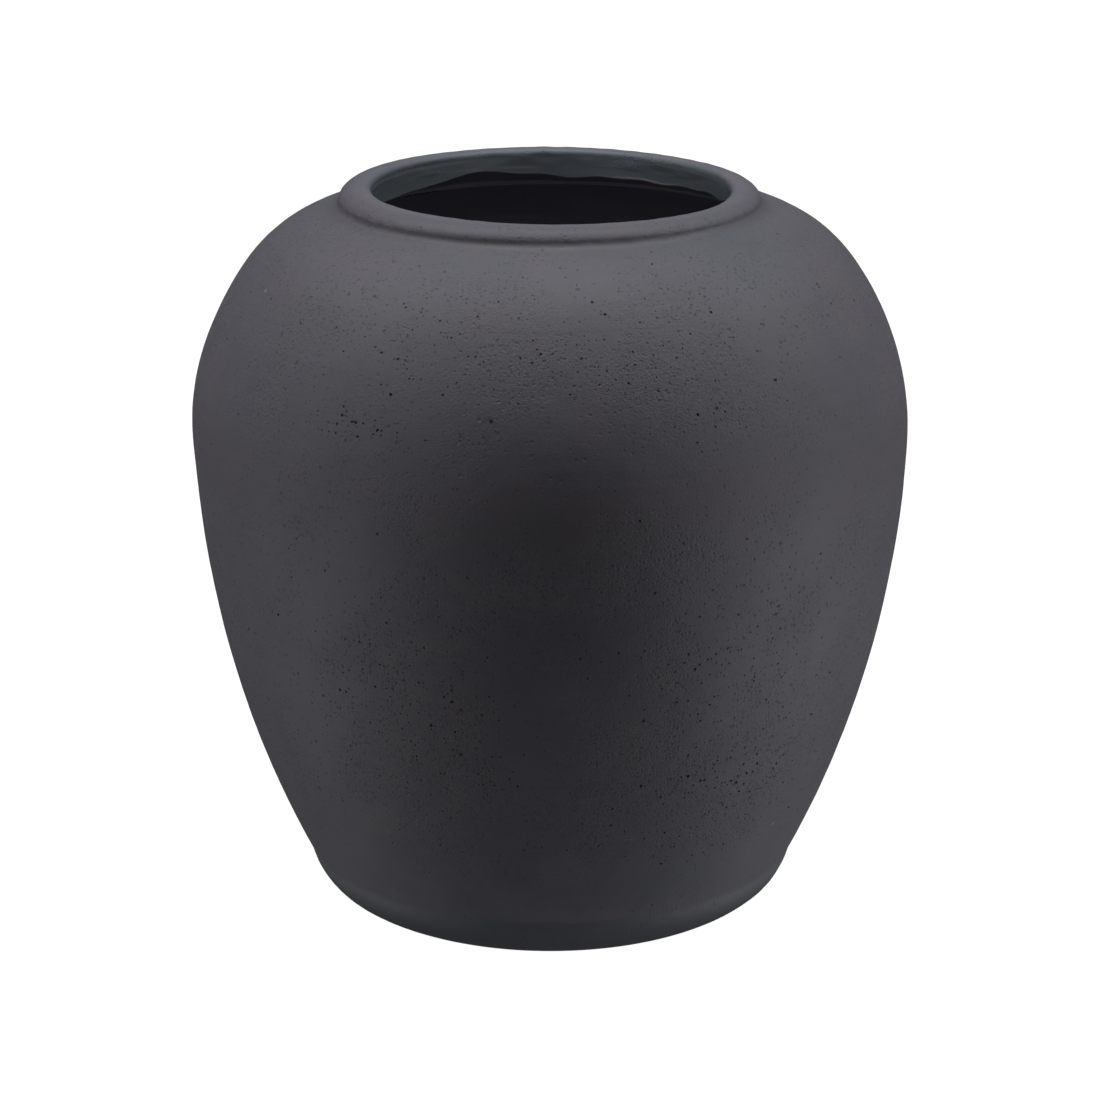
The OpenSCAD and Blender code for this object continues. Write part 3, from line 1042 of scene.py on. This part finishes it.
def neck_collar():
    """Collar: throat, trimmed edge, underside, and the fillet wiped into the groove."""
    edge = np.array([MOUTH_R, THROAT_Z])
    below = line(edge + THROAT_EDGE_BREAK, GROOVE_IN, UNDERSIDE_STEP, trimmed)
    corner = line(edge + [0, THROAT_CORNER_H], edge, FILLET_STEP, trimmed)
    down = [Run(run.points, np.tile([0.0, -1.0], (len(run.points), 1)), run.relief, False)
            for run in (corner, below)]
    roll_deg = angle_of(GROOVE_FILLET_C, LIP_ROLL_C)
    runs = [
        line([MOUTH_R, SEAT_Z + TONGUE_H], edge + [0, THROAT_FACE_H], FILLET_STEP, throat_face),
        *down,
        arc(GROOVE_FILLET_C, GROOVE_FILLET_R, angle_of(CROWN_C, GROOVE_FILLET_C) % 360, roll_deg + 180,
            GROOVE_STEP, groove_face, facing=-1),
        arc(LIP_ROLL_C, LIP_ROLL_R, roll_deg, LIP_SEAT_DEG, SEAT_STEP, groove_face),
        line([MOUTH_R + TONGUE_T, SEAT_Z], [MOUTH_R + TONGUE_T, SEAT_Z + TONGUE_H], INSIDE_STEP),
    ]
    turned = Turned("neck_collar", runs, seed=67, sink=sunken)
    edge_row = len(runs[0].points) + len(corner.points)
    # Painted glint along the trimmed edge, behind and to the pot's right
    turned.rubbed[edge_row - 1:edge_row + 1] = bell(turn_between(turned.theta, 148), 0, 13)
    turned.inner[edge_row:edge_row + len(below.points)] = 1
    return turned


def rolled_lip():
    """Lip: tight inner edge, gently sloping top and broad outer roll."""
    top_in = polar(LIP_EDGE_C, LIP_EDGE_R, LIP_TANGENT_DEG)
    top_out = polar(LIP_ROLL_C, LIP_ROLL_R, LIP_TANGENT_DEG)
    tongue_top = SEAT_Z + TONGUE_H
    runs = [
        line([MOUTH_R, tongue_top], [MOUTH_R, LIP_EDGE_C[1]], LIP_STEP, throat_face, facing=-1),
        arc(LIP_EDGE_C, LIP_EDGE_R, 180, LIP_TANGENT_DEG, LIP_STEP, edge_face),
        line(top_in, top_out, LIP_STEP, lip_face, facing=-1),
        arc(LIP_ROLL_C, LIP_ROLL_R, LIP_TANGENT_DEG, LIP_SEAT_DEG, LIP_STEP, lip_face),
        line([MOUTH_R + TONGUE_T, SEAT_Z], [MOUTH_R + TONGUE_T, tongue_top], INSIDE_STEP),
    ]
    return Turned("rolled_lip", runs, seed=68, sink=sunken)


body, foot, lip, neck, raw = body_clay(), foot_clay(), lip_clay(), neck_clay(), raw_clay()
keep(foot_band(), foot, pits=0.5)
keep(lower_wall(), body, pits=1.0)
keep(shoulder_wall(), body, pits=1.0)
keep(rolled_lip(), lip)
keep(neck_collar(), neck)
keep(base_slab(), raw)
keep(floor_coil(), raw)
keep(belly_coil(), raw)


# ---------------------------------------------------------------------------
# Stage, light and camera
# ---------------------------------------------------------------------------


FLOOR_HALF = 12.0
MIDDLE = Vector((0, 0, 0.15))
LIGHT_DISTANCE = 2.2
# What the surroundings give the pot, where the camera sees pure white
WORLD_LIGHT = 0.075

# A softbox: azimuth and elevation in degrees, width and height in metres, and power in watts
Softbox = namedtuple("Softbox", "name azimuth elevation width height power")
SOFTBOXES = (
    Softbox("top_softbox", 0, 89.9, 1.1, 1.1, 22),
    Softbox("left_high_softbox", -90, 52, 0.58, 0.95, 22),
    Softbox("right_high_softbox", 92, 47, 0.58, 0.95, 22),
    Softbox("left_front_card", -50, 5, 0.58, 0.95, 1.7),
    Softbox("right_front_card", 55, 5, 0.58, 0.95, 1.7),
    Softbox("left_table_glow", -80, -28, 0.58, 0.95, 10.5),
    Softbox("right_table_glow", 84, -28, 0.70, 0.95, 16),
)


def white_floor():
    """A plain white floor, which neither lights nor shades the pot."""
    mesh = bpy.data.meshes.new("studio_floor")
    corners = [(x * FLOOR_HALF, y * FLOOR_HALF, 0) for x, y in ((-1, -1), (1, -1), (1, 1), (-1, 1))]
    mesh.from_pydata(corners, [], [(0, 1, 2, 3)])
    floor = bpy.data.objects.new("studio_floor", mesh)
    bpy.context.scene.collection.objects.link(floor)
    s = Shader("white_floor")
    s.principled.inputs["Base Color"].default_value = (0.12, 0.12, 0.12, 1)
    s.principled.inputs["Roughness"].default_value = 1.0
    s.principled.inputs["Specular IOR Level"].default_value = 0.0
    s.principled.inputs["Emission Color"].default_value = (1, 1, 1, 1)
    s.principled.inputs["Emission Strength"].default_value = 1.0
    mesh.materials.append(s.material)
    floor.visible_diffuse = False
    floor.visible_glossy = False
    floor.visible_shadow = False


def around(azimuth, elevation):
    """A direction from the pot; azimuth 0 is the front and 90 the pot's right."""
    a, e = math.radians(azimuth), math.radians(elevation)
    return Vector((math.sin(a) * math.cos(e), -math.cos(a) * math.cos(e), math.sin(e)))


def aimed(name, data, place, towards):
    """An object at a place that looks at a point."""
    thing = bpy.data.objects.new(name, data)
    thing.location = place
    thing.rotation_euler = (Vector(towards) - Vector(place)).to_track_quat("-Z", "Y").to_euler()
    bpy.context.scene.collection.objects.link(thing)
    return thing


def softbox(box):
    """A rectangular area light aimed at the pot."""
    light = bpy.data.lights.new(box.name, "AREA")
    light.shape = "RECTANGLE"
    light.size = box.width
    light.size_y = box.height
    light.energy = box.power
    aimed(box.name, light, MIDDLE + LIGHT_DISTANCE * around(box.azimuth, box.elevation), MIDDLE)


def small_light(name, kind, place, towards, power):
    """A small lamp that the camera doesn't see."""
    light = bpy.data.lights.new(name, kind)
    light.energy = power
    light.shadow_soft_size = 0.03
    aimed(name, light, place, towards).visible_camera = False
    return light


def mouth_lights():
    """A narrow spot into the mouth, and a faint glow inside."""
    spot = small_light("mouth_fill", "SPOT", (0, -0.35, 0.95), (0, 0.05, 0.29), 3.6)
    spot.spot_size = math.radians(12)
    spot.spot_blend = 0.7
    small_light("inside_glow", "POINT", (0, 0, 0.14), (0, 0, 0), 0.12)


def studio_world():
    """White to the camera and dim to the pot."""
    world = bpy.data.worlds.new("studio")
    world.use_nodes = True
    bpy.context.scene.world = world
    nodes, links = world.node_tree.nodes, world.node_tree.links
    rays = nodes.new("ShaderNodeLightPath")
    level = nodes.new("ShaderNodeMapRange")
    level.inputs["To Min"].default_value = WORLD_LIGHT
    level.inputs["To Max"].default_value = 1.0
    links.new(rays.outputs["Is Camera Ray"], level.inputs["Value"])
    links.new(level.outputs["Result"], nodes["Background"].inputs["Strength"])
    nodes["Background"].inputs["Color"].default_value = (1, 1, 1, 1)


CAMERA_DISTANCE = 1.35
CAMERA_ELEVATION = 17.28
CAMERA_AIM = Vector((-0.0003, 0, 0.1445))
CAMERA_LENS = 106.1


def camera():
    """The camera, a little above the pot and in front of it."""
    data = bpy.data.cameras.new("camera")
    data.sensor_width = 36
    data.lens = CAMERA_LENS
    place = CAMERA_AIM + CAMERA_DISTANCE * around(0, CAMERA_ELEVATION)
    bpy.context.scene.camera = aimed("camera", data, place, CAMERA_AIM)


for box in SOFTBOXES:
    softbox(box)
mouth_lights()
white_floor()
studio_world()
camera()
bpy.context.scene.view_settings.view_transform = "Standard"
